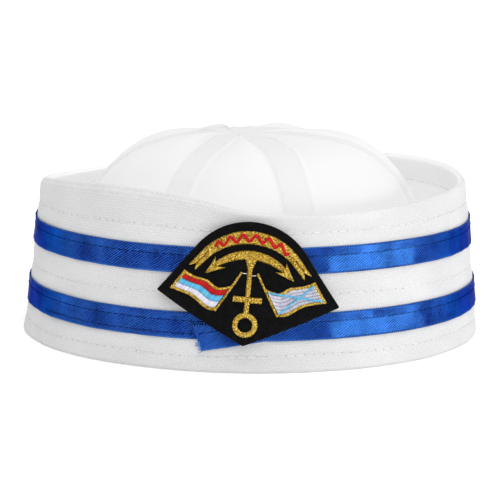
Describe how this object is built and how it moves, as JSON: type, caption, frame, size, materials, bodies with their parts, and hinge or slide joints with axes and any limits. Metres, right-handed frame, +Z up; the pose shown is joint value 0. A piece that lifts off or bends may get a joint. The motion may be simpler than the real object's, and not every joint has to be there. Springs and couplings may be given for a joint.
{
  "type": "sailor cap",
  "caption": "White cotton sailor cap with a soft seamed crown, a turned-up brim, blue satin ribbons round it and a felt badge with an embroidered anchor.",
  "frame": {"origin": "on the surface that the brim stands on, in the middle of the cap's box; the cap's own axis is 2 mm behind it", "axes": "+Z up through the crown, -Y towards the front with the badge, +X to the right of someone facing the badge"},
  "size_m": [0.193, 0.1963, 0.0846],
  "materials": {
    "white_twill": "matte white cotton twill",
    "blue_satin": "glossy royal-blue satin ribbon",
    "black_felt": "matte black felt",
    "gold_thread": "shiny gold embroidery thread",
    "red_thread": "red embroidery thread",
    "sky_thread": "light blue embroidery thread",
    "white_thread": "white embroidery thread"
  },
  "bodies": {
    "root": {"crown_gore_1": "white_twill", "crown_gore_2": "white_twill", "crown_gore_3": "white_twill", "crown_gore_4": "white_twill", "crown_gore_5": "white_twill", "crown_gore_6": "white_twill", "crown_gore_7": "white_twill", "brim": "white_twill", "ribbon_upper": "blue_satin", "ribbon_lower": "blue_satin", "badge_felt": "black_felt", "badge_anchor": "gold_thread", "badge_banner": "gold_thread", "banner_wave": "red_thread", "flag_left_frame": "gold_thread", "flag_left_red": "red_thread", "flag_left_sky": "sky_thread", "flag_left_white": "white_thread", "flag_right_frame": "gold_thread", "flag_right_field": "white_thread", "flag_right_cross": "sky_thread"}
  },
  "joints": []
}
